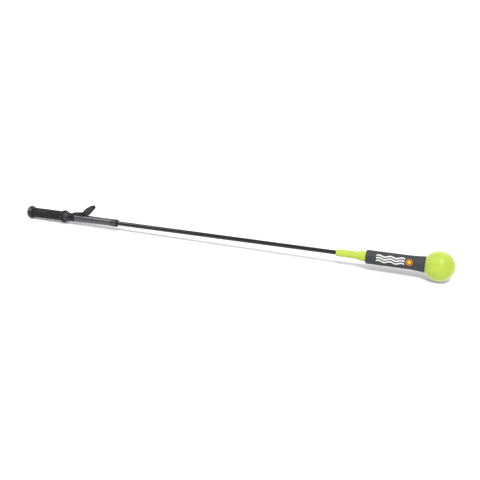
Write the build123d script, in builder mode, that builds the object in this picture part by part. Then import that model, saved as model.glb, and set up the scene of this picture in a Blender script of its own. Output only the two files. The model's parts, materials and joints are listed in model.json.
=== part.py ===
from build123d import *
import os
from math import asin, atan, cos, degrees, radians, sin, sqrt

# Swing trainer stick: a weighted ball on a flexible rod, with a training handle.
# The origin is the centre of the butt end's face. +X runs along the rod to the ball,
# and +Z is the side that the hand guide stands on. Lengths are in millimetres.

os.makedirs("parts", exist_ok=True)

# Driving dimensions ---------------------------------------------------------------

total_length = 1015.0

# Clearances
running_gap = 0.05  # radial play where one piece turns on another
slip_gap = 0.03  # radial play where a piece is slid or bonded into place
end_gap = 0.15  # play between neighbours along the stick

# Butt cap
butt_rim_radius = 15.9
butt_rim_width = 1.8
butt_length = 9.0
butt_front_radius = 12.2
butt_edge_round = 0.7
butt_groove_radius = 9.6
butt_groove_width = 1.6
butt_groove_depth = 0.8
spigot_radius = 6.0
spigot_length = 14.0
spigot_chamfer = 1.0

# Upper grip
grip_radius = 12.0
grip_flare_x = 101.0
grip_stop_radius = 15.1
grip_stop_x = 107.0
grip_stop_width = 3.5
grip_stop_round = 1.5
grip_end_x = 113.0
grip_end_radius = 13.5
rib_count = 14
rib_groove_width = 2.2
rib_groove_depth = 0.6
rib_margin = 3.0  # smooth band at each end of the ribs
panel_length = 34.0
panel_width = 9.0
panel_height = 0.7
panel_centre_x = 44.0
panel_lift_angle = 40.0  # above the level of the axis, on the -Y side

# Grip collar, the cone below the upper grip
cone_start_radius = 13.3
cone_end_x = 124.0
cone_edge_round = 0.6
neck_radius = 10.0

# Handle core
core_grip_radius = 9.0
core_neck_radius = 7.0
core_step_x = 118.0
core_nose_radius = 6.2
core_nose_length = 8.5

# Guide collar, its tongue and the screw that locks it
collar_end_x = 143.7
collar_edge_chamfer = 0.4
tongue_width = 13.0
tongue_root_x = 131.2
tongue_back_x = 136.2
tongue_back_height = 12.1
tongue_front_x = 159.8
tongue_front_height = 14.7
tongue_edge_round = 1.0
ledge_x = 163.8
ledge_height = 12.7
ledge_end_x = 172.4
tongue_lift = 0.3  # air between the tongue and the lower grip
guide_turn = 90.0  # either way from the upright guide
screw_radius = 2.0
screw_point_radius = 1.2
screw_socket_flats = 2.0
screw_socket_depth = 1.5
groove_width = 2.8
groove_depth = 1.0
groove_centre_x = 128.2

# Hinge of the hand guide
hinge_x = 179.0
hinge_height = 15.2
hinge_pin_radius = 1.25
knuckle_radius = 4.4
knuckle_width = 7.0
knuckle_play = 0.35
arm_end_x = 178.0
spring_slot_width = 4.4
spring_slot_radius = 3.5
spring_coil_radius = 2.2
spring_wire_radius = 0.4
spring_pitch = 0.95
spring_full_turns = 2
spring_fixed_leg = 5.2
spring_lever_leg = 7.0
spring_hole_radius = 0.55

# Hand guide lever, measured from the hinge along and across the leaf
lever_angle = 42.0  # rise of its front edge over the stick, at rest
lever_front_offset = 6.0
lever_back_offset = 8.9
lever_length = 32.4
lever_front_straight = 25.0
lever_heel_thickness = 13.4
lever_tip_thickness = 6.4
lever_edge_round = 1.2
heel_x = 166.0
heel_clearance = 0.25
pad_rim = 2.6
pad_start = 4.0
pad_tip_radius = 2.6
pad_depth = 0.7
pad_proud = 0.25

# Lower grip
lower_start_radius = 10.0
lower_waist_radius = 8.75
lower_waist_x = 200.0
lower_end_x = 252.0
lower_edge_round = 0.5
ring_radius = 9.0
ring_end_x = 266.5
ring_edge_round = 1.6

# Rod
rod_seat_radius = 4.9  # inside the handle
rod_butt_radius = 5.2
rod_tip_radius = 4.3
rod_start_x = 30.0
rod_taper_start_x = 312.5
rod_taper_end_x = 790.0
rod_end_x = 968.0
handle_pin_x = 62.0
cross_pin_radius = 1.5

# Ferrule
ferrule_start_x = 794.0
ferrule_radius = 7.4
ferrule_flare_x = 830.0
ferrule_wide_x = 846.0
ferrule_wide_radius = 10.2
ferrule_end_x = 852.8
ferrule_edge_round = 0.8

# Head sleeve
sleeve_start_x = 853.0
sleeve_radius = 13.6
sleeve_back_wall = 5.0
sleeve_bore_radius = 10.3
sleeve_flare_x = 930.0
sleeve_mouth_x = 962.0
sleeve_mouth_radius = 15.5
sleeve_edge_round = 1.2

# Weight, hub and fasteners inside the head
weight_radius = 10.2
weight_end_x = 948.0
weight_edge_chamfer = 0.8
weight_pin_x = 903.0
stud_radius = 2.0
stud_start_x = 944.0
stud_end_x = 981.0
hub_flange_end_x = 957.0
hub_radius = 9.0
hub_web = 3.0
hub_nose_x = 984.0
hub_pocket_radius = 5.2
nut_across_flats = 7.0
nut_thickness = 3.2
washer_radius = 4.5
washer_thickness = 0.8

# Ball
ball_radius = 28.4
ball_centre_x = total_length - ball_radius


def half_section(*points):
    """Closed half section of a turned piece, from (along the stick, radius) points."""
    with BuildSketch(Plane.XZ) as section:
        with BuildLine():
            Polyline(*points, close=True)
        make_face()
    return section.sketch


# Butt cap: flared rim with a ring groove in its face, and a spigot for the core -------

with BuildPart() as butt_cap:
    spigot_end_x = butt_length + spigot_length
    cap_outline = half_section(
        (0, 0),
        (0, butt_groove_radius - butt_groove_width / 2),
        (butt_groove_depth, butt_groove_radius - butt_groove_width / 4),
        (butt_groove_depth, butt_groove_radius + butt_groove_width / 4),
        (0, butt_groove_radius + butt_groove_width / 2),
        (0, butt_rim_radius),
        (butt_rim_width, butt_rim_radius),
        (butt_length, butt_front_radius),
        (butt_length, spigot_radius),
        (spigot_end_x, spigot_radius),
        (spigot_end_x, 0),
    )
    revolve(cap_outline, axis=Axis.X)
    cap_circles = butt_cap.edges().filter_by(GeomType.CIRCLE)
    fillet(cap_circles.sort_by(SortBy.RADIUS)[-2:], radius=butt_edge_round)
    chamfer(butt_cap.edges().filter_by(GeomType.CIRCLE).sort_by(Axis.X)[-1], spigot_chamfer)
butt_cap.part.label = "butt_cap"
export_step(butt_cap.part, "parts/butt_cap.step")

# Handle core: stiff tube that carries the whole handle and grips the rod -------------

core_start_x = butt_length + end_gap
core_nose_x = lower_end_x + core_nose_length
rod_seat_x = rod_start_x - end_gap
rod_stop_radius = rod_seat_radius - 1.0
spigot_hole_x = spigot_end_x + 1.0
groove_floor = core_neck_radius - groove_depth
groove_end_angle = degrees(asin(screw_point_radius / groove_floor)) + 1.0

with BuildPart() as handle_core:
    core_outline = half_section(
        (core_start_x, spigot_radius + slip_gap),
        (core_start_x, core_grip_radius),
        (core_step_x, core_grip_radius),
        (core_step_x, core_neck_radius),
        (lower_end_x, core_neck_radius),
        (lower_end_x, core_nose_radius),
        (core_nose_x, core_nose_radius),
        (core_nose_x, rod_seat_radius + slip_gap),
        (rod_seat_x, rod_seat_radius + slip_gap),
        (rod_seat_x, rod_stop_radius),
        (spigot_hole_x, rod_stop_radius),
        (spigot_hole_x, spigot_radius + slip_gap),
    )
    revolve(core_outline, axis=Axis.X)
    # The stop groove runs round the -Y side, and its ends stop the lock screw's point.
    groove_section = half_section(
        (groove_centre_x - groove_width / 2, groove_floor),
        (groove_centre_x - groove_width / 2, core_neck_radius + 1),
        (groove_centre_x + groove_width / 2, core_neck_radius + 1),
        (groove_centre_x + groove_width / 2, groove_floor),
    )
    groove_start = groove_section.rotate(Axis.X, 90 - guide_turn - groove_end_angle)
    groove_arc = 2 * (guide_turn + groove_end_angle)
    revolve(groove_start, axis=Axis.X, revolution_arc=groove_arc, mode=Mode.SUBTRACT)
    with Locations((handle_pin_x, 0, 0)):
        Hole(cross_pin_radius)
handle_core.part.label = "handle_core"
export_step(handle_core.part, "parts/handle_core.step")

# Upper grip: ribbed rubber sleeve with a low raised panel and a stop for the hand ------

with BuildPart() as grip_panel:
    panel_plane = Plane(
        origin=(panel_centre_x, 0, 0),
        x_dir=(1, 0, 0),
        z_dir=(0, -cos(radians(panel_lift_angle)), sin(radians(panel_lift_angle))),
    )
    with BuildSketch(panel_plane):
        SlotOverall(panel_length, panel_width)
    extrude(amount=grip_radius + 2 * panel_height)
    panel_crown = half_section(
        (core_start_x, 0),
        (core_start_x, grip_radius + panel_height),
        (grip_end_x, grip_radius + panel_height),
        (grip_end_x, 0),
    )
    revolve(panel_crown, axis=Axis.X, mode=Mode.INTERSECT)

with BuildPart() as upper_grip:
    grip_body = half_section(
        (core_start_x, 0),
        (core_start_x, grip_radius - rib_groove_depth),
        (core_start_x + rib_margin, grip_radius),
        (grip_flare_x, grip_radius),
        (grip_stop_x, grip_stop_radius),
        (grip_stop_x + grip_stop_width, grip_stop_radius),
        (grip_end_x, grip_end_radius),
        (grip_end_x, 0),
    )
    revolve(grip_body, axis=Axis.X)
    stop_edges = upper_grip.edges().filter_by(GeomType.CIRCLE).sort_by(SortBy.RADIUS)[-2:]
    fillet(stop_edges, radius=grip_stop_round)
    with BuildSketch(Plane.YZ.offset(core_start_x + rib_margin)):
        with PolarLocations(grip_radius, rib_count):
            Rectangle(2 * rib_groove_depth, rib_groove_width)
    extrude(amount=grip_flare_x - core_start_x - 2 * rib_margin, mode=Mode.SUBTRACT)
    add(grip_panel.part)
    with BuildSketch(Plane.YZ.offset(core_start_x)):
        Circle(core_grip_radius + slip_gap)
    extrude(amount=grip_end_x, mode=Mode.SUBTRACT)
upper_grip.part.label = "upper_grip"
export_step(upper_grip.part, "parts/upper_grip.step")

# Handle pin: cross pin through the core and the rod, under the upper grip ------------

pin_play = 0.2  # each end of a cross pin stays this far below the surface round it

with BuildPart() as handle_pin:
    with BuildSketch(Plane.XY.offset(pin_play - core_grip_radius)):
        with Locations((handle_pin_x, 0)):
            Circle(cross_pin_radius)
    extrude(amount=2 * (core_grip_radius - pin_play))
handle_pin.part.label = "handle_pin"
export_step(handle_pin.part, "parts/handle_pin.step")

# Grip collar: cone that leads from the upper grip's stop down to the neck ---------------

cone_start_x = grip_end_x + end_gap

with BuildPart() as grip_collar:
    cone_outline = half_section(
        (cone_start_x, core_grip_radius + slip_gap),
        (cone_start_x, cone_start_radius),
        (cone_end_x, neck_radius),
        (cone_end_x, core_neck_radius + slip_gap),
        (core_step_x + end_gap, core_neck_radius + slip_gap),
        (core_step_x + end_gap, core_grip_radius + slip_gap),
    )
    revolve(cone_outline, axis=Axis.X)
    cone_rim = grip_collar.edges().filter_by(GeomType.CIRCLE).sort_by(SortBy.RADIUS)[-1]
    fillet(cone_rim, radius=cone_edge_round)
grip_collar.part.label = "grip_collar"
export_step(grip_collar.part, "parts/grip_collar.step")

# Lower grip: tapered sleeve that the second hand holds -------------------------------

lower_start_x = collar_end_x + 2 * end_gap

with BuildPart() as lower_grip:
    lower_outline = half_section(
        (lower_start_x, core_neck_radius + slip_gap),
        (lower_start_x, lower_start_radius),
        (lower_waist_x, lower_waist_radius),
        (lower_end_x, lower_waist_radius),
        (lower_end_x, core_neck_radius + slip_gap),
    )
    revolve(lower_outline, axis=Axis.X)
    grip_rim = lower_grip.edges().filter_by(GeomType.CIRCLE).sort_by(SortBy.RADIUS)[-1]
    fillet(grip_rim, radius=lower_edge_round)
lower_grip.part.label = "lower_grip"
export_step(lower_grip.part, "parts/lower_grip.step")

# Lower grip ring: end ring that holds the rod in the core's mouth --------------------

ring_start_x = lower_end_x + end_gap

with BuildPart() as lower_grip_ring:
    ring_outline = half_section(
        (ring_start_x, core_nose_radius + slip_gap),
        (ring_start_x, ring_radius),
        (ring_end_x, ring_radius),
        (ring_end_x, rod_seat_radius + slip_gap),
        (core_nose_x + end_gap, rod_seat_radius + slip_gap),
        (core_nose_x + end_gap, core_nose_radius + slip_gap),
    )
    revolve(ring_outline, axis=Axis.X)
    ring_rims = lower_grip_ring.edges().filter_by(GeomType.CIRCLE).sort_by(SortBy.RADIUS)[-2:]
    fillet(ring_rims, radius=ring_edge_round)
lower_grip_ring.part.label = "lower_grip_ring"
export_step(lower_grip_ring.part, "parts/lower_grip_ring.step")

# Torsion spring: its fixed leg stands in the tongue's arm, the other lifts the lever --

hinge_centre = Vector(hinge_x, 0, hinge_height)
hinge_axis = Axis(hinge_centre, (0, 1, 0))
spring_turns = spring_full_turns + 1 - lever_angle / 360
coil_width = spring_pitch * spring_turns

with BuildPart() as torsion_spring:
    wound_up = Helix(
        pitch=spring_pitch,
        height=coil_width,
        radius=spring_coil_radius,
        center=(hinge_x, -coil_width / 2, hinge_height),
        direction=(0, 1, 0),
        mode=Mode.PRIVATE,
    )
    coil = wound_up.rotate(hinge_axis, -90)
    with BuildLine() as spring_wire:
        add(coil)
        fixed_leg = Line(coil @ 0, coil @ 0 - (coil % 0) * spring_fixed_leg)
        lever_leg = Line(coil @ 1, coil @ 1 + (coil % 1) * spring_lever_leg)
    with BuildSketch(Plane(origin=fixed_leg @ 1, z_dir=coil % 0)):
        Circle(spring_wire_radius)
    sweep(path=spring_wire.wires()[0], is_frenet=True)
torsion_spring.part.label = "torsion_spring"
export_step(torsion_spring.part, "parts/torsion_spring.step")

# Guide collar: ring that turns on the core's neck, and the tongue that it carries ----

collar_start_x = cone_end_x + end_gap
collar_bore_radius = core_neck_radius + running_gap
tongue_root_height = sqrt(neck_radius**2 - (tongue_width / 2) ** 2)
screw_plane = Plane(origin=(groove_centre_x, 0, 0), x_dir=(1, 0, 0), z_dir=(0, -1, 0))
hinge_bore_plane = Plane(origin=hinge_centre, z_dir=(0, 1, 0))

with BuildPart() as guide_collar:
    # Tongue in side view
    with BuildSketch(Plane.XZ):
        with BuildLine():
            Polyline(
                (tongue_root_x, collar_bore_radius),
                (tongue_root_x, tongue_root_height),
                (tongue_back_x, tongue_back_height),
                (tongue_front_x, tongue_front_height),
                (ledge_x, ledge_height),
                (ledge_end_x, ledge_height),
                (ledge_end_x, collar_bore_radius),
                close=True,
            )
        make_face()
    extrude(amount=tongue_width / 2, both=True)
    tongue_rims = guide_collar.edges().filter_by(
        lambda edge: edge.center().Z > tongue_root_height and abs(edge.center().Y) > 1
    )
    fillet(tongue_rims, radius=tongue_edge_round)
    # Narrow arm and knuckle that fit between the lever's cheeks
    with BuildSketch(Plane.XZ):
        with BuildLine():
            Polyline(
                (ledge_x, core_neck_radius),
                (ledge_x, ledge_height),
                (hinge_x, ledge_height),
                (hinge_x, hinge_height),
                (arm_end_x, hinge_height),
                (arm_end_x, core_neck_radius),
                close=True,
            )
        make_face()
        with Locations((hinge_x, hinge_height)):
            Circle(knuckle_radius)
    extrude(amount=knuckle_width / 2, both=True)
    # Saddle that clears the lower grip at every turn of the collar
    arm_lower_radius = lower_start_radius - (arm_end_x - lower_start_x) * (
        lower_start_radius - lower_waist_radius
    ) / (lower_waist_x - lower_start_x)
    saddle = half_section(
        (collar_end_x, 0),
        (collar_end_x, lower_start_radius + tongue_lift),
        (lower_start_x, lower_start_radius + tongue_lift),
        (arm_end_x, arm_lower_radius + tongue_lift),
        (arm_end_x, 0),
    )
    revolve(saddle, axis=Axis.X, mode=Mode.SUBTRACT)
    ring_section = half_section(
        (collar_start_x, collar_bore_radius),
        (collar_start_x, neck_radius - collar_edge_chamfer),
        (collar_start_x + collar_edge_chamfer, neck_radius),
        (collar_end_x - collar_edge_chamfer, neck_radius),
        (collar_end_x, neck_radius - collar_edge_chamfer),
        (collar_end_x, collar_bore_radius),
    )
    revolve(ring_section, axis=Axis.X)
    with BuildSketch(screw_plane):
        Circle(screw_radius)
    extrude(amount=2 * neck_radius, mode=Mode.SUBTRACT)
    # Slot for the spring's coil, open above the hinge
    with BuildSketch(hinge_bore_plane):
        Circle(spring_slot_radius)
    extrude(amount=spring_slot_width / 2, both=True, mode=Mode.SUBTRACT)
    with BuildSketch(Plane.XZ):
        with Locations((hinge_x, hinge_height)):
            Rectangle(4 * knuckle_radius, 2 * knuckle_radius, align=(Align.CENTER, Align.MIN))
    extrude(amount=spring_slot_width / 2, both=True, mode=Mode.SUBTRACT)
    with BuildSketch(Plane(origin=fixed_leg @ 0, z_dir=fixed_leg % 0)):
        Circle(spring_hole_radius)
    extrude(amount=spring_fixed_leg + end_gap, mode=Mode.SUBTRACT)
    with Locations(hinge_bore_plane):
        Hole(hinge_pin_radius)
guide_collar.part.label = "guide_collar"
export_step(guide_collar.part, "parts/guide_collar.step")

# Lock screw: set screw whose point runs in the core's stop groove ---------------------

screw_head_height = neck_radius - end_gap - screw_radius**2 / (2 * neck_radius)
screw_shoulder_height = core_neck_radius + 2 * end_gap
screw_tip_height = groove_floor + end_gap

with BuildPart() as lock_screw:
    with BuildSketch(screw_plane.offset(screw_shoulder_height)):
        Circle(screw_radius)
    extrude(amount=screw_head_height - screw_shoulder_height)
    with BuildSketch(screw_plane.offset(screw_tip_height)):
        Circle(screw_point_radius)
    extrude(amount=screw_shoulder_height - screw_tip_height)
    with BuildSketch(screw_plane.offset(screw_head_height)):
        RegularPolygon(screw_socket_flats / 2, side_count=6, major_radius=False)
    extrude(amount=-screw_socket_depth, mode=Mode.SUBTRACT)
lock_screw.part.label = "lock_screw"
export_step(lock_screw.part, "parts/lock_screw.step")

# Lever pads: soft inlays in the two faces of the leaf-shaped hand guide ---------------

slope = radians(lever_angle)
along_leaf = Vector(cos(slope), 0, sin(slope))
across_leaf = Vector(-sin(slope), 0, cos(slope))
leaf_plane = Plane(origin=hinge_centre, x_dir=along_leaf, z_dir=(0, -1, 0))
leaf_top_plane = Plane(origin=hinge_centre, x_dir=along_leaf, z_dir=across_leaf)
heel_drop = hinge_height - ledge_height - heel_clearance
heel_reach = hinge_x - heel_x
heel_corner = leaf_plane.to_local_coords(hinge_centre - Vector(heel_reach, 0, heel_drop))
cheek_arc = 90 + lever_angle - degrees(asin(heel_drop / lever_front_offset))

with BuildSketch() as leaf_outline:
    with BuildLine():
        cheek = CenterArc((0, 0), lever_front_offset, -90, -cheek_arc)
        heel = Line(cheek @ 1, (heel_corner.X, heel_corner.Y))
        Spline(
            heel @ 1,
            (0.08 * lever_length, lever_back_offset),
            (0.42 * lever_length, 0.89 * lever_back_offset),
            (0.69 * lever_length, 0.62 * lever_back_offset),
            (0.90 * lever_length, 0.32 * lever_back_offset),
            (lever_length, -0.12 * lever_back_offset),
            (0.93 * lever_length, -0.55 * lever_back_offset),
            (lever_front_straight, -lever_front_offset),
            tangents=[(1, 0.25), (-1, 0)],
        )
        Line((lever_front_straight, -lever_front_offset), cheek @ 0)
    make_face()

with BuildSketch() as pad_outline:
    pad_front = pad_rim - lever_front_offset
    pad_back = lever_back_offset - pad_rim
    with BuildLine():
        pad_edge = Line((pad_start, pad_front), (0.79 * lever_length, pad_front))
        pad_tip = JernArc(pad_edge @ 1, (1, 0), radius=pad_tip_radius, arc_size=150)
        pad_curve = Spline(
            pad_tip @ 1,
            (0.66 * lever_length, 0.57 * pad_back),
            (0.42 * lever_length, 0.85 * pad_back),
            (pad_start, pad_back),
            tangents=[pad_tip % 1, (-1, -0.1)],
        )
        Line(pad_curve @ 1, pad_edge @ 0)
    make_face()

leaf_reach = heel_reach - 1.0
wedge = atan((lever_heel_thickness - lever_tip_thickness) / 2 / (leaf_reach + lever_length))
hinge_half_thickness = lever_heel_thickness / 2 - leaf_reach * (
    lever_heel_thickness - lever_tip_thickness
) / 2 / (leaf_reach + lever_length)
pad_floor = Plane(
    origin=hinge_centre - Vector(0, hinge_half_thickness - pad_depth, 0),
    x_dir=along_leaf * cos(wedge) + Vector(0, sin(wedge), 0),
    z_dir=along_leaf * sin(wedge) - Vector(0, cos(wedge), 0),
)

with BuildPart() as lever_pads:
    with BuildSketch(pad_floor):
        add(pad_outline.sketch)
    extrude(amount=pad_depth + pad_proud)
    mirror(about=Plane.XZ)
lever_pads.part.label = "lever_pads"
export_step(lever_pads.part, "parts/lever_pads.step")

# Guide lever: leaf-shaped hand guide that folds forward on the tongue's knuckle -------

with BuildPart() as guide_lever:
    with BuildSketch(leaf_plane):
        add(leaf_outline.sketch)
    extrude(amount=lever_heel_thickness, both=True)
    with BuildSketch(leaf_top_plane):
        with BuildLine():
            Polyline(
                (-leaf_reach, -lever_heel_thickness / 2),
                (lever_length, -lever_tip_thickness / 2),
                (lever_length, lever_tip_thickness / 2),
                (-leaf_reach, lever_heel_thickness / 2),
                close=True,
            )
        make_face()
    extrude(amount=2 * lever_length, both=True, mode=Mode.INTERSECT)
    leaf_rims = guide_lever.edges().filter_by(lambda edge: abs(edge.center().Y) > 1)
    fillet(leaf_rims, radius=lever_edge_round)
    add(lever_pads.part, mode=Mode.SUBTRACT)
    # Fork slot round the tongue's knuckle and arm
    with BuildSketch(hinge_bore_plane):
        Circle(knuckle_radius + knuckle_play)
    fork_half_width = knuckle_width / 2 + end_gap
    extrude(amount=fork_half_width, both=True, mode=Mode.SUBTRACT)
    with BuildSketch(leaf_plane):
        with BuildLine():
            slot_reach = 2 * lever_front_offset
            slot_start = PolarLine((0, 0), slot_reach, -82)
            slot_side = PolarLine((0, 0), slot_reach, -90 - cheek_arc)
            RadiusArc(slot_start @ 1, slot_side @ 1, slot_reach)
        make_face()
    extrude(amount=fork_half_width, both=True, mode=Mode.SUBTRACT)
    with Locations(hinge_bore_plane):
        Hole(hinge_pin_radius + running_gap)
    with BuildSketch(Plane(origin=lever_leg @ 0.5, z_dir=lever_leg % 0)):
        Circle(spring_hole_radius)
    extrude(amount=spring_lever_leg / 2 + end_gap, mode=Mode.SUBTRACT)
guide_lever.part.label = "guide_lever"
export_step(guide_lever.part, "parts/guide_lever.step")

# Hinge pin: pressed in the knuckle, and the lever's cheeks turn on its ends -----------

pin_half_length = hinge_half_thickness - end_gap

with BuildPart() as hinge_pin:
    with BuildSketch(hinge_bore_plane):
        Circle(hinge_pin_radius)
    extrude(amount=pin_half_length, both=True)
hinge_pin.part.label = "hinge_pin"
export_step(hinge_pin.part, "parts/hinge_pin.step")

# Rod: flexible solid rod, parallel in the handle and thinner towards the head ---------

with BuildPart() as rod:
    rod_outline = half_section(
        (rod_start_x, 0),
        (rod_start_x, rod_seat_radius),
        (ring_end_x + end_gap, rod_seat_radius),
        (ring_end_x + end_gap, rod_butt_radius),
        (rod_taper_start_x, rod_butt_radius),
        (rod_taper_end_x, rod_tip_radius),
        (rod_end_x, rod_tip_radius),
        (rod_end_x, stud_radius),
        (stud_start_x, stud_radius),
        (stud_start_x, 0),
    )
    revolve(rod_outline, axis=Axis.X)
    with Locations((handle_pin_x, 0, 0), (weight_pin_x, 0, 0)):
        Hole(cross_pin_radius)
rod.part.label = "shaft"
export_step(rod.part, "parts/shaft.step")

# Ferrule: slim sleeve that flares up to the head and eases the rod's bending ----------

rod_bore_radius = rod_tip_radius + slip_gap

with BuildPart() as ferrule:
    with BuildSketch(Plane.XZ):
        with BuildLine():
            Polyline(
                (ferrule_end_x, ferrule_wide_radius),
                (ferrule_end_x, rod_bore_radius),
                (ferrule_start_x, rod_bore_radius),
                (ferrule_start_x, ferrule_radius),
                (ferrule_flare_x, ferrule_radius),
            )
            Spline(
                (ferrule_flare_x, ferrule_radius),
                (ferrule_wide_x, ferrule_wide_radius),
                tangents=[(1, 0), (1, 0)],
            )
            Line((ferrule_wide_x, ferrule_wide_radius), (ferrule_end_x, ferrule_wide_radius))
        make_face()
    revolve(axis=Axis.X)
    ferrule_rims = ferrule.edges().filter_by(GeomType.CIRCLE).sort_by(Axis.X)
    fillet(ferrule_rims.filter_by(lambda rim: rim.radius > rod_tip_radius + 1)[0], ferrule_edge_round)
    fillet(ferrule.edges().filter_by(GeomType.CIRCLE).sort_by(SortBy.RADIUS)[-1], ferrule_edge_round)
ferrule.part.label = "ferrule"
export_step(ferrule.part, "parts/ferrule.step")

# Weight sleeve: grey shell of the head, flared to meet the ball -----------------------

with BuildPart() as weight_sleeve:
    sleeve_bore_start_x = sleeve_start_x + sleeve_back_wall
    with BuildSketch(Plane.XZ):
        with BuildLine():
            Polyline(
                (sleeve_mouth_x, sleeve_mouth_radius),
                (sleeve_mouth_x, sleeve_bore_radius),
                (sleeve_bore_start_x, sleeve_bore_radius),
                (sleeve_bore_start_x, rod_bore_radius),
                (sleeve_start_x, rod_bore_radius),
                (sleeve_start_x, sleeve_radius),
                (sleeve_flare_x, sleeve_radius),
            )
            Spline(
                (sleeve_flare_x, sleeve_radius),
                (sleeve_mouth_x, sleeve_mouth_radius),
                tangents=[(1, 0), (1, 0.12)],
            )
        make_face()
    revolve(axis=Axis.X)
    back_rim = weight_sleeve.edges().filter_by(GeomType.CIRCLE).filter_by(
        lambda rim: rim.center().X < sleeve_bore_start_x
    )
    fillet(back_rim.sort_by(SortBy.RADIUS)[-1], radius=sleeve_edge_round)
    # The mouth is hollowed so that it seats on the ball
    with Locations((ball_centre_x, 0, 0)):
        Sphere(ball_radius + running_gap, mode=Mode.SUBTRACT)
weight_sleeve.part.label = "weight_sleeve"
export_step(weight_sleeve.part, "parts/weight_sleeve.step")

# Weight core: steel slug inside the sleeve, pinned to the rod -------------------------

weight_start_x = sleeve_bore_start_x + end_gap

with BuildPart() as weight_core:
    slug_outline = half_section(
        (weight_start_x, rod_bore_radius),
        (weight_start_x, weight_radius - weight_edge_chamfer),
        (weight_start_x + weight_edge_chamfer, weight_radius),
        (weight_end_x - weight_edge_chamfer, weight_radius),
        (weight_end_x, weight_radius - weight_edge_chamfer),
        (weight_end_x, rod_bore_radius),
    )
    revolve(slug_outline, axis=Axis.X)
    with Locations((weight_pin_x, 0, 0)):
        Hole(cross_pin_radius)
weight_core.part.label = "weight_core"
export_step(weight_core.part, "parts/weight_core.step")

# Weight pin: cross pin that fixes the weight on the rod -------------------------------

with BuildPart() as weight_pin:
    with BuildSketch(Plane.XY.offset(pin_play - weight_radius)):
        with Locations((weight_pin_x, 0)):
            Circle(cross_pin_radius)
    extrude(amount=2 * (weight_radius - pin_play))
weight_pin.part.label = "weight_pin"
export_step(weight_pin.part, "parts/weight_pin.step")

# Ball hub: stiff plug that carries the ball on the end of the rod ---------------------

web_start_x = rod_end_x + end_gap
web_end_x = web_start_x + hub_web

with BuildPart() as ball_hub:
    hub_outline = half_section(
        (weight_end_x + end_gap, rod_bore_radius),
        (weight_end_x + end_gap, weight_radius),
        (hub_flange_end_x, weight_radius),
        (hub_flange_end_x, hub_radius),
        (hub_nose_x, hub_radius),
        (hub_nose_x, hub_pocket_radius),
        (web_end_x, hub_pocket_radius),
        (web_end_x, stud_radius + slip_gap),
        (web_start_x, stud_radius + slip_gap),
        (web_start_x, rod_bore_radius),
    )
    revolve(hub_outline, axis=Axis.X)
ball_hub.part.label = "ball_hub"
export_step(ball_hub.part, "parts/ball_hub.step")

# Tip stud, hub washer and lock nut: they hold the hub on the rod ----------------------

washer_end_x = web_end_x + washer_thickness

with BuildPart() as tip_stud:
    with BuildSketch(Plane.YZ.offset(stud_start_x)):
        Circle(stud_radius)
    extrude(amount=stud_end_x - stud_start_x)
tip_stud.part.label = "tip_stud"
export_step(tip_stud.part, "parts/tip_stud.step")

with BuildPart() as hub_washer:
    with BuildSketch(Plane.YZ.offset(web_end_x)):
        Circle(washer_radius)
        Circle(stud_radius + slip_gap, mode=Mode.SUBTRACT)
    extrude(amount=washer_thickness)
hub_washer.part.label = "hub_washer"
export_step(hub_washer.part, "parts/hub_washer.step")

with BuildPart() as lock_nut:
    with BuildSketch(Plane.YZ.offset(washer_end_x)):
        RegularPolygon(nut_across_flats / 2, side_count=6, major_radius=False)
        Circle(stud_radius, mode=Mode.SUBTRACT)
    extrude(amount=nut_thickness)
lock_nut.part.label = "lock_nut"
export_step(lock_nut.part, "parts/lock_nut.step")

# Ball: rubber ball with a socket for the hub ------------------------------------------

with BuildPart() as ball:
    with Locations((ball_centre_x, 0, 0)):
        Sphere(ball_radius)
    socket = half_section(
        (weight_end_x, 0),
        (weight_end_x, hub_radius + slip_gap),
        (hub_nose_x + end_gap, hub_radius + slip_gap),
        (hub_nose_x + end_gap, 0),
    )
    revolve(socket, axis=Axis.X, mode=Mode.SUBTRACT)
ball.part.label = "ball"
export_step(ball.part, "parts/ball.step")
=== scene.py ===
import json
from math import asin, cos, hypot, pi, radians, sin

import bmesh
import bpy
from mathutils import Matrix, Vector
from mathutils.bvhtree import BVHTree


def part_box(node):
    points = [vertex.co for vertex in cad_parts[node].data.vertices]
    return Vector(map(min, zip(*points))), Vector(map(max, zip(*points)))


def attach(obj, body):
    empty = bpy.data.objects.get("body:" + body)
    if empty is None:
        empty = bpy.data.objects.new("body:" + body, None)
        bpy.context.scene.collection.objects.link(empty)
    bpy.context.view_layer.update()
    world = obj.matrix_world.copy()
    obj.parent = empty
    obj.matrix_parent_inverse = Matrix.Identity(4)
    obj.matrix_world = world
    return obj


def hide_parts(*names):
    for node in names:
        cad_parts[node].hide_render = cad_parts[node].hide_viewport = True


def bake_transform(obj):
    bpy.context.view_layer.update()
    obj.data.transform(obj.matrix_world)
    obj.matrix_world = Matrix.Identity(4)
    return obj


# Swing trainer stick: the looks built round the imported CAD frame.
# The row frame has +X along the stick towards the ball and +Z on the hand guide's side.
# Blender works in metres. Lengths below are in millimetres, and MM scales them where they are used.

MM = 0.001
SLIP_GAP = 0.03  # between two pieces, one sleeved over the other
END_GAP = 0.15  # past the end of a piece in its socket

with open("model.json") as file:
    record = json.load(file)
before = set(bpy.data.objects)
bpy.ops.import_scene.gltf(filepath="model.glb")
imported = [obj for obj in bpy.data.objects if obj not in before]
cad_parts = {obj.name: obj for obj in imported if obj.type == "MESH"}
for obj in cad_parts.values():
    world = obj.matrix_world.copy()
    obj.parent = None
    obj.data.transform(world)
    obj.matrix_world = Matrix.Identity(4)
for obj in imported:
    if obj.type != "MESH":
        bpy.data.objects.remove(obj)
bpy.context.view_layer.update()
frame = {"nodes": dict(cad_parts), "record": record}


# Dimensions of the upper grip, which its shape and its colours share -----------------

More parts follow.
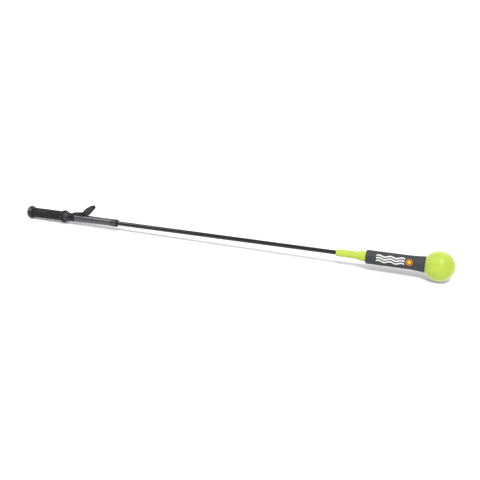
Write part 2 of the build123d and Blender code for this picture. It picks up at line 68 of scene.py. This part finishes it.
grip_low, grip_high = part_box("upper_grip")
GRIP_START = grip_low.x / MM
GRIP_END = grip_high.x / MM
GRIP_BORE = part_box("handle_core")[1].z / MM + SLIP_GAP
GRIP_RADIUS = 12.0
BUTT_STEP = 0.6  # how much slimmer the sleeve is at the butt
FLARE_X = GRIP_END - 12.0
STOP_START = GRIP_END - 6.0
STOP_WIDTH = 3.5
STOP_RADIUS = grip_high.z / MM
STOP_CHAMFER = 1.6

RIBS = 14
GROOVE_HALF = 1.3
GROOVE_DEPTH = 0.6
GROOVE_RUN_OUT = 1.5
RIB_MARGIN = 3.0

PANEL_X = 44.0
PANEL_ANGLE = radians(140)
PANEL_HALF_LENGTH = 17.0
PANEL_HALF_WIDTH = 4.5
PANEL_RISE = 0.7
PANEL_EDGE = 0.5
VALLEY_SPAN = (1.0, 1.4)  # in from the panel's edge
VALLEY_DEPTH = 0.35

STUD_PITCH = 4.6
STUD_ROW_HALF = 3.4 * STUD_PITCH  # room for seven studs
STUD_RADIUS = 1.5
STUD_EDGE = 0.5
STUD_RISE = 0.45


# Materials ------------------------------------------------------------------------

# A span is the pair of values between which a noise, an angle or a place fades from none to full.
PATCH_SPAN = (0.35, 0.65)
PATCH_DETAIL = 4.0
SPECK_SPAN = (0.3, 0.75)
SPECK_SHARE = 0.5
ROUGH_SPAN = (0.7, 1.3)
COAT_ROUGHNESS = 0.12

EDGE_BEVEL = 0.5
EDGE_SPAN = (0.995, 0.90)  # cosine between the surface's own normal and its bevelled normal
WEAR_PATCH = 2.5
WEAR_PATCH_SPAN = (0.4, 0.6)
LEAST_WEAR = 0.2
WORN_BRIGHTENING = 1.3
WORN_WHITENING = 0.175

# Painted reflection: over this span of turning away from the eye, the neon is painted paler at its rims
RIM_REFLECTION_SPAN = (0.35, 0.95)
NEUTRAL_BOUNCE = (0.42, 0.42, 0.42, 1)

# Grip tones: painted shade in the grooves, ribs at about the rubber's own tone, and a paler raised panel
GROOVE_SHADE_TONE = (0.004, 0.004, 0.0045, 1)
RIB_TONE = (0.014, 0.014, 0.015, 1)
PANEL_TONE = (0.028, 0.028, 0.030, 1)
RIB_RADII = (GRIP_RADIUS - 0.5, GRIP_RADIUS - 0.1)
PANEL_RADII = (GRIP_RADIUS + 0.1, GRIP_RADIUS + 0.6)
FLARE_FADE = 2.0
GRIP_TONE_SHARE = 0.8

# Inlay tones: painted shade in the valleys between the pebbles, painted highlight on their tops
VALLEY_SHADE_TONE = (0.012, 0.013, 0.012, 1)
PEBBLE_HIGHLIGHT_TONE = (0.075, 0.082, 0.072, 1)
PEBBLE_SHADING_SHARE = 0.6
POINTINESS_SPAN = (0.46, 0.54)

# Head sleeve: painted shade over this width at both ends
SLEEVE_END_SHADE_TONE = (0.012, 0.012, 0.013, 1)
SLEEVE_END_SHADE_WIDTH = 1.6


class Nodes:
    """Short hand for wiring one material's or world's nodes."""

    def __init__(self, tree):
        self.tree = tree
        tree.nodes.clear()

    def add(self, kind, settings=None, **inputs):
        node = self.tree.nodes.new(kind)
        for key, value in (settings or {}).items():
            setattr(node, key, value)
        for key, value in inputs.items():
            self.feed(node, key.replace("_", " "), value)
        return node

    def feed(self, node, key, value):
        """Links or sets an input, which key gives by its name or, after "in", by its number."""
        socket = node.inputs[int(key[2:]) if key.startswith("in") else key]
        if isinstance(value, bpy.types.NodeSocket):
            self.tree.links.new(value, socket)
        else:
            socket.default_value = value

    def noise(self, place, cell_mm, detail=3.0):
        """Noise from 0 to 1 with blobs of about cell_mm."""
        node = self.add("ShaderNodeTexNoise", Vector=place, Scale=1 / (cell_mm * MM), Detail=detail)
        return node.outputs["Fac"]

    def ranged(self, value, span, reach=(0, 1)):
        """Smooth step that takes value from span to reach."""
        settings = {"interpolation_type": "SMOOTHSTEP"}
        node = self.add("ShaderNodeMapRange", settings, Value=value)
        for key, number in zip(("From Min", "From Max", "To Min", "To Max"), (*span, *reach)):
            node.inputs[key].default_value = number
        return node.outputs["Result"]

    def math(self, operation, a, b=0.0):
        return self.add("ShaderNodeMath", {"operation": operation}, in0=a, in1=b).outputs[0]

    def mix(self, share, first, second):
        node = self.add("ShaderNodeMix", {"data_type": "RGBA"}, in0=share, in6=first, in7=second)
        return node.outputs[2]


def tint(colour, factor):
    return tuple(min(1.0, part * factor) for part in colour) + (1.0,)


def in_metres(span):
    return tuple(value * MM for value in span)


def worn_edges(nodes, place, colour_node, colour, wear):
    """Rubs the edges paler, in patches."""
    surface = nodes.add("ShaderNodeNewGeometry").outputs["Normal"]
    rounded = nodes.add("ShaderNodeBevel", {"samples": 4}, Radius=EDGE_BEVEL * MM).outputs[0]
    between = nodes.add("ShaderNodeVectorMath", {"operation": "DOT_PRODUCT"}, in0=surface, in1=rounded)
    edge = nodes.ranged(between.outputs["Value"], EDGE_SPAN, (0, wear))
    patches = nodes.ranged(nodes.noise(place, WEAR_PATCH), WEAR_PATCH_SPAN, (LEAST_WEAR, 1))
    bright = tint(colour, WORN_BRIGHTENING)[:3]
    worn = tuple(part + WORN_WHITENING * (1 - part) for part in bright) + (1.0,)
    return nodes.mix(nodes.math("MULTIPLY", edge, patches), colour_node, worn)


def painted_rim_reflection(nodes, colour_node, rim_reflection):
    """Painted reflection: fades to the paler rim colour where the surface turns away from the eye."""
    turned_away = nodes.add("ShaderNodeLayerWeight", Blend=0.5).outputs["Facing"]
    colour_node = nodes.mix(nodes.ranged(turned_away, RIM_REFLECTION_SPAN), colour_node, rim_reflection + (1.0,))
    # Light that bounces off onto the paper stays neutral, as a colour-balanced studio shot shows it
    bounced = nodes.add("ShaderNodeLightPath").outputs["Is Diffuse Ray"]
    return nodes.mix(bounced, colour_node, NEUTRAL_BOUNCE)


def finish(name, colour, roughness, shade=0.12, spread=0.08, grain=0.35, height=0.015, stretch=1.0,
           specular=0.5, wear=0.25, coat=0.0, sheen=0.0, metallic=0.0, glow=0.0, blotch=9.0, rim_reflection=None,
           extra=None):
    """Procedural material: blotchy colour, grain in bump and roughness, and paler worn edges.

    grain, height and blotch are in millimetres; stretch lengthens the grain along the stick.
    rim_reflection is the paler colour painted where the surface turns away from the eye, a painted
    reflection of the bright surroundings, and extra(nodes, place, colour_node) adds a material's own step
    to its colour.
    """
    material = bpy.data.materials.new(name)
    material.use_nodes = True
    nodes = Nodes(material.node_tree)
    place = nodes.add("ShaderNodeTexCoord").outputs["Object"]
    squeeze = (1 / stretch, 1, 1)
    drawn = nodes.add("ShaderNodeVectorMath", {"operation": "MULTIPLY"}, in0=place, in1=squeeze).outputs[0]
    cloud = nodes.noise(drawn, blotch, PATCH_DETAIL)
    fine = nodes.noise(drawn, grain)
    patches = nodes.ranged(cloud, PATCH_SPAN)
    colour_node = nodes.mix(patches, tint(colour, 1 - shade), tint(colour, 1 + shade))
    specks = nodes.ranged(fine, SPECK_SPAN, (0, SPECK_SHARE))
    colour_node = nodes.mix(specks, colour_node, tint(colour, 1 - 2 * shade))
    if extra:
        colour_node = extra(nodes, place, colour_node)
    if wear:
        colour_node = worn_edges(nodes, place, colour_node, colour, wear)
    if rim_reflection:
        colour_node = painted_rim_reflection(nodes, colour_node, rim_reflection)
    uneven = nodes.math("ADD", cloud, fine)
    rough = nodes.ranged(uneven, ROUGH_SPAN, (roughness - spread, roughness + spread))
    bump = nodes.add("ShaderNodeBump", Height=fine, Strength=1.0, Distance=height * MM).outputs[0]
    shader = nodes.add("ShaderNodeBsdfPrincipled", Roughness=rough, Metallic=metallic, Normal=bump)
    nodes.feed(shader, "Base Color", colour_node)
    nodes.feed(shader, "Specular IOR Level", specular)
    nodes.feed(shader, "Coat Weight", coat)
    nodes.feed(shader, "Coat Roughness", COAT_ROUGHNESS)
    nodes.feed(shader, "Sheen Weight", sheen)
    # Painted glow: the surface gives off light of its own colour though it is no lamp
    if glow:
        nodes.feed(shader, "Emission Color", colour_node)
        nodes.feed(shader, "Emission Strength", glow)
    nodes.add("ShaderNodeOutputMaterial", Surface=shader.outputs[0])
    return material


def painted_groove_shade(nodes, place, colour_node):
    """Colour step for the ribbed grip: painted shade in the grooves, ribs at about the rubber's own tone
    and a paler panel.
    """
    parts = nodes.add("ShaderNodeSeparateXYZ", Vector=place).outputs
    across = nodes.add("ShaderNodeCombineXYZ", Y=parts["Y"], Z=parts["Z"]).outputs[0]
    outward = nodes.add("ShaderNodeVectorMath", {"operation": "LENGTH"}, in0=across).outputs["Value"]
    tone = nodes.mix(nodes.ranged(outward, in_metres(RIB_RADII)), GROOVE_SHADE_TONE, RIB_TONE)
    tone = nodes.mix(nodes.ranged(outward, in_metres(PANEL_RADII)), tone, PANEL_TONE)
    flare_span = in_metres((FLARE_X, FLARE_X + FLARE_FADE))
    share = nodes.ranged(parts["X"], flare_span, (GRIP_TONE_SHARE, 0))
    return nodes.mix(share, colour_node, tone)


def painted_pebble_shading(nodes, place, colour_node):
    """Colour step for the inlays: painted highlight on the pebble tops and painted shade in the valleys.
    """
    swell = nodes.add("ShaderNodeNewGeometry").outputs["Pointiness"]
    shaded = nodes.mix(nodes.ranged(swell, POINTINESS_SPAN), VALLEY_SHADE_TONE, PEBBLE_HIGHLIGHT_TONE)
    return nodes.mix(PEBBLE_SHADING_SHARE, colour_node, shaded)


def painted_end_shade(nodes, place, colour_node):
    """Colour step for the head sleeve: painted shade darkens both ends."""
    low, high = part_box("weight_sleeve")
    width = SLEEVE_END_SHADE_WIDTH * MM
    along = nodes.add("ShaderNodeSeparateXYZ", Vector=place).outputs["X"]
    start = nodes.ranged(along, (low.x, low.x + width), (1, 0))
    end = nodes.ranged(along, (high.x - width, high.x))
    return nodes.mix(nodes.math("MAXIMUM", start, end), colour_node, SLEEVE_END_SHADE_TONE)


# Neon: glow is a faint painted glow standing in for the rubber's fluorescence, and its paler rim colour is
# painted reflection
NEON = dict(colour=(0.45, 0.575, 0.062), rim_reflection=(0.66, 0.74, 0.34), shade=0.05, specular=0.4, glow=0.06)
PRINT = dict(roughness=0.5, specular=0.3, wear=0.0)

LOOKS = {
    "flange_grey": dict(colour=(0.036, 0.036, 0.039), roughness=0.42, grain=0.25, specular=0.35, wear=0.3),
    "grip_rubber": dict(colour=(0.0135, 0.0135, 0.014), roughness=0.62, grain=0.22, height=0.03,
                        specular=0.2, sheen=0.02, wear=0.15, extra=painted_groove_shade),
    "core_nylon": dict(colour=(0.03, 0.03, 0.032), roughness=0.5),
    "pin_steel": dict(colour=(0.55, 0.55, 0.56), roughness=0.3, metallic=1.0, stretch=0.2, wear=0.1),
    "screw_steel": dict(colour=(0.09, 0.09, 0.095), roughness=0.38, metallic=1.0, wear=0.5),
    "guide_black": dict(colour=(0.010, 0.010, 0.011), roughness=0.5, grain=0.2, specular=0.22, wear=0.2),
    "lever_black": dict(colour=(0.0125, 0.0135, 0.0125), roughness=0.5, grain=0.2, specular=0.25,
                        wear=0.2),
    "pad_rubber": dict(colour=(0.040, 0.045, 0.039), roughness=0.7, shade=0.3, grain=0.3, height=0.04,
                       blotch=3.5, specular=0.25, sheen=0.05, wear=0.1, extra=painted_pebble_shading),
    "grip_grey": dict(colour=(0.056, 0.055, 0.062), roughness=0.3, grain=0.3, stretch=6.0, wear=0.15,
                      coat=0.35),
    "ring_grey": dict(colour=(0.047, 0.047, 0.050), roughness=0.46, shade=0.3, grain=0.5, blotch=1.6,
                      height=0.05, specular=0.4),
    "rod_black": dict(colour=(0.007, 0.007, 0.008), roughness=0.22, spread=0.05, grain=0.3,
                      height=0.004, stretch=25.0, specular=0.4, coat=0.3, wear=0.0),
    "neon_rubber": dict(NEON, roughness=0.5, grain=0.3, height=0.012, wear=0.08),
    "neon_ball": dict(NEON, roughness=0.45, grain=0.45, wear=0.0, blotch=16.0),
    "sleeve_grey": dict(colour=(0.047, 0.048, 0.055), roughness=0.55, height=0.02, specular=0.3,
                        sheen=0.03, wear=0.08, extra=painted_end_shade),
    "weight_steel": dict(colour=(0.4, 0.4, 0.41), roughness=0.35, metallic=1.0, stretch=0.1, wear=0.2),
    "print_white": dict(PRINT, colour=(0.80, 0.80, 0.80), shade=0.03),
    "print_yellow": dict(PRINT, colour=(0.72, 0.50, 0.02), shade=0.05),
    "print_orange": dict(PRINT, colour=(0.66, 0.24, 0.015), shade=0.05),
}
finishes = {name: finish(name, **look) for name, look in LOOKS.items()}

for part in frame["record"]["subparts"]:
    node = frame["nodes"][part["node"]]
    node.data.materials.clear()
    node.data.materials.append(finishes[part["material_slot"]])


# Mesh helpers ---------------------------------------------------------------------


def placed(name, mesh):
    """Moves a bmesh into a new object in the scene."""
    data = bpy.data.meshes.new(name)
    mesh.to_mesh(data)
    mesh.free()
    made = bpy.data.objects.new(name, data)
    bpy.context.scene.collection.objects.link(made)
    return made


def piece(name, mesh, body, slot, look=None):
    """Turns a bmesh into a smooth-shaded piece that rides on a CAD body, unless body is None.

    It takes its slot's finish, unless look names another one.
    """
    bmesh.ops.recalc_face_normals(mesh, faces=mesh.faces)
    made = placed(name, mesh)
    made.data.shade_smooth()
    made.data.materials.append(finishes[look or slot])
    if body:
        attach(made, body)
    return made


def softened(corners, steps=5):
    """Outline with rounded corners, from (x, radius, rounding) triples in millimetres."""
    points = []
    for i, (x, radius, rounding) in enumerate(corners):
        here = Vector((x, radius))
        if not rounding:
            points.append(here)
            continue
        back = Vector(corners[i - 1][:2]) - here
        on = Vector(corners[(i + 1) % len(corners)][:2]) - here
        start = here + back.normalized() * rounding
        end = here + on.normalized() * rounding
        for k in range(steps + 1):
            share = k / steps
            points.append(start * (1 - share) ** 2 + here * 2 * share * (1 - share) + end * share**2)
    return points


def turned(outline, steps, relief):
    """Closed outline turned about the stick's axis; relief(x, radius, angle) is added to the radius."""
    mesh = bmesh.new()
    rings = []
    for x, radius in outline:
        ring = []
        for k in range(steps):
            angle = 2 * pi * k / steps
            reach = radius + relief(x, radius, angle)
            ring.append(mesh.verts.new((x * MM, reach * cos(angle) * MM, reach * sin(angle) * MM)))
        rings.append(ring)
    for first, second in zip(rings, rings[1:] + rings[:1]):
        for k in range(steps):
            near = (k + 1) % steps
            mesh.faces.new((first[k], first[near], second[near], second[k]))
    return mesh


def ramp(value, low, high):
    """Smooth step from 0 at low to 1 at high."""
    share = min(1.0, max(0.0, (value - low) / (high - low)))
    return share * share * (3 - 2 * share)


# Upper grip: ribbed rubber sleeve with a studded panel ----------------------------

RELIEF_START = GRIP_START + RIB_MARGIN + 1.2
RELIEF_END = FLARE_X - 2.0
PANEL_RING_STEP = 0.25
PLAIN_RING_STEP = 0.8
GRIP_COLUMNS = 480
RELIEF_DEPTH = 1.0  # points deeper than this below the ribs' tops get no relief


def groove_depth(x, angle):
    """Depth below the ribs' tops; the grooves run out short of both ends."""
    pitch = 2 * pi * GRIP_RADIUS / RIBS
    across = abs((angle * RIBS / (2 * pi) + 0.5) % 1.0 - 0.5) * pitch
    groove = 0.5 + 0.5 * cos(pi * min(1.0, across / GROOVE_HALF))
    start = GRIP_START + RIB_MARGIN
    end = FLARE_X - RIB_MARGIN
    inside = ramp(x, start, start + GROOVE_RUN_OUT)
    inside *= ramp(x, end, end - GROOVE_RUN_OUT)
    return GROOVE_DEPTH * groove * inside


def grip_relief(x, radius, angle):
    """Grooves along the sleeve, and on the panel a shallow valley with a row of studs in it."""
    if radius < GRIP_RADIUS - RELIEF_DEPTH or x > FLARE_X:
        return 0.0
    round_way = (angle - PANEL_ANGLE) * GRIP_RADIUS
    straight = max(0.0, abs(x - PANEL_X) - PANEL_HALF_LENGTH + PANEL_HALF_WIDTH)
    depth_in = PANEL_HALF_WIDTH - hypot(straight, round_way)
    panel = ramp(depth_in, 0.0, PANEL_EDGE)
    valley = ramp(depth_in, *VALLEY_SPAN)
    along = (x - PANEL_X + STUD_PITCH / 2) % STUD_PITCH - STUD_PITCH / 2
    stud = 0.0
    if abs(x - PANEL_X) < STUD_ROW_HALF:
        stud = ramp(hypot(along, round_way), STUD_RADIUS, STUD_RADIUS - STUD_EDGE)
    raised = PANEL_RISE - VALLEY_DEPTH * valley + STUD_RISE * stud
    return (1 - panel) * -groove_depth(x, angle) + panel * raised


def grip_outline():
    points = softened([
        (GRIP_START, GRIP_BORE, 0),
        (GRIP_START, GRIP_RADIUS - BUTT_STEP, 0.3),
        (GRIP_START + RIB_MARGIN, GRIP_RADIUS, 1.0),
    ])
    x = RELIEF_START
    while x < RELIEF_END:
        points.append(Vector((x, GRIP_RADIUS)))
        on_panel = abs(x - PANEL_X) < PANEL_HALF_LENGTH + 1
        x += PANEL_RING_STEP if on_panel else PLAIN_RING_STEP
    return points + softened([
        (FLARE_X, GRIP_RADIUS, 1.5),
        (STOP_START, STOP_RADIUS, 1.5),
        (STOP_START + STOP_WIDTH, STOP_RADIUS, 1.2),
        (GRIP_END, STOP_RADIUS - STOP_CHAMFER, 0.4),
        (GRIP_END, GRIP_BORE, 0),
    ])


grip_mesh = turned(grip_outline(), GRIP_COLUMNS, grip_relief)
ribbed_grip = piece("ribbed_grip", grip_mesh, "stick", "grip_rubber")
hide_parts("upper_grip")


# Hand guide: soft inlays with rows of domed pebbles on a fine skin over the CAD inlays ----

PAD_VOXEL = 0.3
PEBBLE_PITCH = 2.1
PEBBLE_RISE = 0.42
PEBBLE_SPAN = (0.5, 0.12)  # foot and top of a pebble, in pitches from its centre
ROW_PITCH = PEBBLE_PITCH * sin(radians(60))


def fine_skin(node_name, voxel):
    """Evenly fine copy of a CAD node's mesh, in millimetres: in metres the remesh is far slower."""
    mesh = bmesh.new()
    mesh.from_mesh(frame["nodes"][node_name].data)
    bmesh.ops.scale(mesh, vec=Vector((1, 1, 1)) / MM, verts=mesh.verts)
    holder = placed("draft", mesh)
    remesh = holder.modifiers.new("skin", "REMESH")
    remesh.mode = "VOXEL"
    remesh.voxel_size = voxel
    fitted = bpy.data.meshes.new_from_object(holder.evaluated_get(bpy.context.evaluated_depsgraph_get()))
    bpy.data.objects.remove(holder)
    skin = bmesh.new()
    skin.from_mesh(fitted)
    return skin


pads = fine_skin("lever_pads", PAD_VOXEL)
pads.normal_update()
for vertex in pads.verts:
    row = vertex.co.z / ROW_PITCH
    along = vertex.co.x / PEBBLE_PITCH + 0.5 * (round(row) % 2)
    off_centre = hypot(along - round(along), (row - round(row)) * ROW_PITCH / PEBBLE_PITCH)
    vertex.co.y += vertex.normal.y * PEBBLE_RISE * ramp(off_centre, *PEBBLE_SPAN)
bmesh.ops.scale(pads, vec=Vector((MM, MM, MM)), verts=pads.verts)
textured_pads = piece("textured_pads", pads, "lever", "pad_rubber")
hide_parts("lever_pads")


# Return spring between the tongue and the lever (its coils wind up as the lever folds): here a welded copy
# of the CAD spring, fixed in place ----

WELD_DISTANCE = 1e-4

spring_mesh = bmesh.new()
spring_mesh.from_mesh(frame["nodes"]["torsion_spring"].data)
bmesh.ops.remove_doubles(spring_mesh, verts=spring_mesh.verts, dist=WELD_DISTANCE * MM)
wound_spring = piece("wound_spring", spring_mesh, None, "pin_steel")
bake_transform(wound_spring)
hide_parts("torsion_spring")


# Ball: rubber ball with a socket for its hub and a moulding seam on its two sides ---------

ball_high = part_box("ball")[1]
BALL_RADIUS = ball_high.z / MM
BALL_X = ball_high.x / MM - BALL_RADIUS
BALL_RINGS = 120
BALL_COLUMNS = 360
hub_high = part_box("ball_hub")[1]
HUB_FLANGE_STEP = 1.2  # how much wider the hub's flange is than the plug in the ball
SOCKET_RADIUS = hub_high.z / MM - HUB_FLANGE_STEP + SLIP_GAP
SOCKET_END = hub_high.x / MM + END_GAP
SEAM_RISE = 0.10
SEAM_SPAN = (0.45, 0.1)  # foot and crest, out from the seam's middle
SEAM_CLEAR_RADIUS = 4.0  # the seam stops this far from the axis
AXIS_HOLE = 0.02  # the rings next to the axis keep this radius
SOCKET_TAPER = 0.02  # the socket narrows by this much towards its end


def seam_relief(x, radius, angle):
    if radius <= SEAM_CLEAR_RADIUS:
        return 0.0
    off_seam = abs((angle + pi / 2) % pi - pi / 2) * radius
    return SEAM_RISE * ramp(off_seam, *SEAM_SPAN)


def ball_outline():
    mouth = asin(SOCKET_RADIUS / BALL_RADIUS)
    points = []
    for k in range(BALL_RINGS + 1):
        polar = mouth + (pi - mouth) * k / BALL_RINGS
        radius = max(AXIS_HOLE, BALL_RADIUS * sin(polar))
        points.append(Vector((BALL_X - BALL_RADIUS * cos(polar), radius)))
    points.append(Vector((SOCKET_END, AXIS_HOLE)))
    points.append(Vector((SOCKET_END, SOCKET_RADIUS - SOCKET_TAPER)))
    return points


ball_mesh = turned(ball_outline(), BALL_COLUMNS, seam_relief)
moulded_ball = piece("moulded_ball", ball_mesh, "stick", "neon_ball")
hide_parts("ball")


# Head sleeve's print: generic waves and a round dot --------------------------------

SLEEVE_RADIUS = 13.6
OUTSIDE_RADIUS = 40.0
PRINT_ANGLE = radians(160)
PRINT_LIFT = 0.03
PRINT_THICKNESS = 0.05

WAVE_START = 873.0
WAVE_LENGTH = 53.0
WAVE_HEIGHT = 1.5
WAVE_COUNT = 2.5
WAVE_WIDTH = 2.9
WAVE_TIP_WIDTH = 0.02  # as a share of the full width, so that the tips keep some
WAVE_OFFSETS = (-5.2, 0.0, 5.2)
DOT_X = 934.0
DOT_HOLE = 0.05
DOT_RADIUS = 3.4
RING_INNER = 4.5
RING_OUTER = 6.3

sleeve_mesh = frame["nodes"]["weight_sleeve"].data
wall_points = [vertex.co for vertex in sleeve_mesh.vertices]
wall_faces = [polygon.vertices for polygon in sleeve_mesh.polygons]
sleeve_wall = BVHTree.FromPolygons(wall_points, wall_faces)


def on_sleeve(along, round_way, lift):
    """Point over the sleeve's wall, round_way millimetres up from the print's centre line."""
    angle = PRINT_ANGLE - round_way / SLEEVE_RADIUS
    outward = Vector((0, cos(angle), sin(angle)))
    start = Vector((along * MM, 0, 0)) + OUTSIDE_RADIUS * MM * outward
    return sleeve_wall.ray_cast(start, -outward)[0] + lift * MM * outward


def print_sheet(mesh, shape, columns, rows, closed=False):
    """Adds a thin curved sheet; shape(u, v) gives (along, round the sleeve) for u, v from 0 to 1."""
    sheets = []
    for lift in (PRINT_LIFT, PRINT_LIFT + PRINT_THICKNESS):
        grid = []
        for i in range(columns + 1):
            if closed and i == columns:
                grid.append(grid[0])
                continue
            places = [on_sleeve(*shape(i / columns, j / rows), lift) for j in range(rows + 1)]
            grid.append([mesh.verts.new(place) for place in places])
        sheets.append(grid)
    low, high = sheets
    for i in range(columns):
        for j in range(rows):
            mesh.faces.new((low[i][j], low[i][j + 1], low[i + 1][j + 1], low[i + 1][j]))
            mesh.faces.new((high[i][j], high[i + 1][j], high[i + 1][j + 1], high[i][j + 1]))
        for j in (0, rows):
            mesh.faces.new((low[i][j], low[i + 1][j], high[i + 1][j], high[i][j]))
    if not closed:
        for i in (0, columns):
            for j in range(rows):
                mesh.faces.new((low[i][j], high[i][j], high[i][j + 1], low[i][j + 1]))


def wave(offset):
    """Shape of a wavy stripe with rounded ends."""

    def shape(u, v):
        end = min(u, 1 - u) * WAVE_LENGTH / (WAVE_WIDTH / 2)
        fullness = 1.0 if end > 1 else max(0.0, 1 - (1 - end) ** 2) ** 0.5 + WAVE_TIP_WIDTH
        middle = offset + WAVE_HEIGHT * sin(2 * pi * WAVE_COUNT * u)
        return WAVE_START + WAVE_LENGTH * u, middle + (v - 0.5) * WAVE_WIDTH * fullness

    return shape


def disc(inner, outer):
    """Shape of a ring between two radii."""

    def shape(u, v):
        radius = inner + (outer - inner) * v
        return DOT_X + radius * cos(2 * pi * u), radius * sin(2 * pi * u)

    return shape


waves = bmesh.new()
for offset in WAVE_OFFSETS:
    print_sheet(waves, wave(offset), columns=160, rows=3)
piece("print_waves", waves, "stick", "sleeve_grey", "print_white")
dot = bmesh.new()
print_sheet(dot, disc(DOT_HOLE, DOT_RADIUS), columns=48, rows=4, closed=True)
piece("print_dot", dot, "stick", "sleeve_grey", "print_yellow")
dot_ring = bmesh.new()
print_sheet(dot_ring, disc(RING_INNER, RING_OUTER), columns=64, rows=2, closed=True)
piece("print_ring", dot_ring, "stick", "sleeve_grey", "print_orange")


# Studio: paper floor ----------------------------------------------------------------

# The stick rests on the butt's rim and the ball, so the floor leans a little in the row frame.
RIM_FLAT_END = 1.0
rim_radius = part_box("butt_cap")[1].z / MM
lean = asin((BALL_RADIUS - rim_radius) / (BALL_X - RIM_FLAT_END))
floor_along = Vector((cos(lean), 0, -sin(lean)))
floor_across = Vector((0, 1, 0))
floor_up = Vector((sin(lean), 0, cos(lean)))
floor_point = Vector((RIM_FLAT_END * MM, 0, -rim_radius * MM))

FLOOR_RADIUS_M = 60.0
FLOOR_CORNERS = 64
PAPER_TONES = ((0.93, 0.93, 0.93, 1), (0.95, 0.95, 0.95, 1))
PAPER_BLOTCH = 60.0
PAPER_GLOW = 0.01


def paper():
    material = bpy.data.materials.new("paper")
    material.use_nodes = True
    nodes = Nodes(material.node_tree)
    place = nodes.add("ShaderNodeTexCoord").outputs["Object"]
    tone = nodes.mix(nodes.noise(place, PAPER_BLOTCH), *PAPER_TONES)
    matt = nodes.add("ShaderNodeBsdfDiffuse", Color=tone).outputs[0]
    glow = nodes.add("ShaderNodeEmission", Strength=PAPER_GLOW).outputs[0]
    surface = nodes.add("ShaderNodeAddShader", in0=matt, in1=glow).outputs[0]
    nodes.add("ShaderNodeOutputMaterial", Surface=surface)
    return material


floor_mesh = bmesh.new()
rim = []
for k in range(FLOOR_CORNERS):
    angle = 2 * pi * k / FLOOR_CORNERS
    outward = cos(angle) * floor_along + sin(angle) * floor_across
    rim.append(floor_mesh.verts.new(floor_point + FLOOR_RADIUS_M * outward))
floor_mesh.faces.new(rim)
floor = placed("floor", floor_mesh)
floor.data.materials.append(paper())


# Studio: bright surroundings behind the stick, a darker room on the camera's side ----------

BACKDROP = 1.15
ROOM_FRONT = 0.26
ROOM_BACK = 0.80
ROOM_SPAN = (-0.2, 0.75)  # across the room, from the camera's side to the back
OVERHEAD = 0.2  # added by a big lamp overhead
OVERHEAD_SPAN = (0.55, 0.85)


def studio_room():
    world = bpy.data.worlds.new("studio")
    world.use_nodes = True
    nodes = Nodes(world.node_tree)
    direction = nodes.add("ShaderNodeTexCoord").outputs["Generated"]
    parts = nodes.add("ShaderNodeSeparateXYZ", Vector=direction).outputs
    room = nodes.ranged(parts["Y"], ROOM_SPAN, (ROOM_FRONT, ROOM_BACK))
    room = nodes.math("ADD", room, nodes.ranged(parts["Z"], OVERHEAD_SPAN, (0, OVERHEAD)))
    seen = nodes.add("ShaderNodeLightPath").outputs["Is Camera Ray"]
    strength = nodes.add("ShaderNodeMix", {"data_type": "FLOAT"}, in0=seen, in2=room, in3=BACKDROP)
    light = nodes.add("ShaderNodeBackground", Color=(1, 1, 1, 1), Strength=strength.outputs[0])
    nodes.add("ShaderNodeOutputWorld", Surface=light.outputs[0])
    return world


bpy.context.scene.world = studio_room()


# Studio: lamps ----------------------------------------------------------------------

SUN_SOFTNESS = radians(20)
SUN_STRENGTH = 2.5
SUN_FROM = Vector((0.18, -0.50, 0.84))
FILL_STRENGTH = 0.65
FILL_FROM = Vector((-0.62, -0.25, 0.74))


def lamp(name, strength, shines_from, shadow=True):
    light = bpy.data.lights.new(name, "SUN")
    light.energy = strength
    light.angle = SUN_SOFTNESS
    light.use_shadow = shadow
    made = bpy.data.objects.new(name, light)
    made.rotation_mode = "QUATERNION"
    made.rotation_quaternion = shines_from.to_track_quat("Z", "Y")
    bpy.context.scene.collection.objects.link(made)


lamp("overhead", SUN_STRENGTH, SUN_FROM)
# Weak lamp from the butt's side, whose reflection runs along the top of the lower grip and the rod
lamp("fill", FILL_STRENGTH, FILL_FROM, shadow=False)


# Camera: placed from the ball's centre, with its horizon level with the floor ---------------

CAMERA_FROM_BALL = Vector((19.0, -957.5, 369.2))
CAMERA_YAW = radians(23.5)
CAMERA_DIP = radians(19.77)
SENSOR_WIDTH = 36.0
LENS = 38.78
CLIP_START_M = 0.02
CLIP_END_M = 200.0

camera_data = bpy.data.cameras.new("camera")
camera_data.sensor_width = SENSOR_WIDTH
camera_data.lens = LENS
camera_data.clip_start = CLIP_START_M
camera_data.clip_end = CLIP_END_M
camera = bpy.data.objects.new("camera", camera_data)
bpy.context.scene.collection.objects.link(camera)
ahead = (
    -sin(CAMERA_YAW) * cos(CAMERA_DIP) * floor_along
    + cos(CAMERA_YAW) * cos(CAMERA_DIP) * floor_across
    - sin(CAMERA_DIP) * floor_up
)
to_right = ahead.cross(floor_up).normalized()
to_top = to_right.cross(ahead)
facing = Matrix((to_right, to_top, -ahead)).transposed().to_4x4()
camera_place = Vector((BALL_X * MM, 0, 0)) + CAMERA_FROM_BALL * MM
camera.matrix_world = Matrix.Translation(camera_place) @ facing
bpy.context.scene.camera = camera

bpy.context.scene.view_settings.view_transform = "Standard"
bpy.context.scene.view_settings.look = "None"
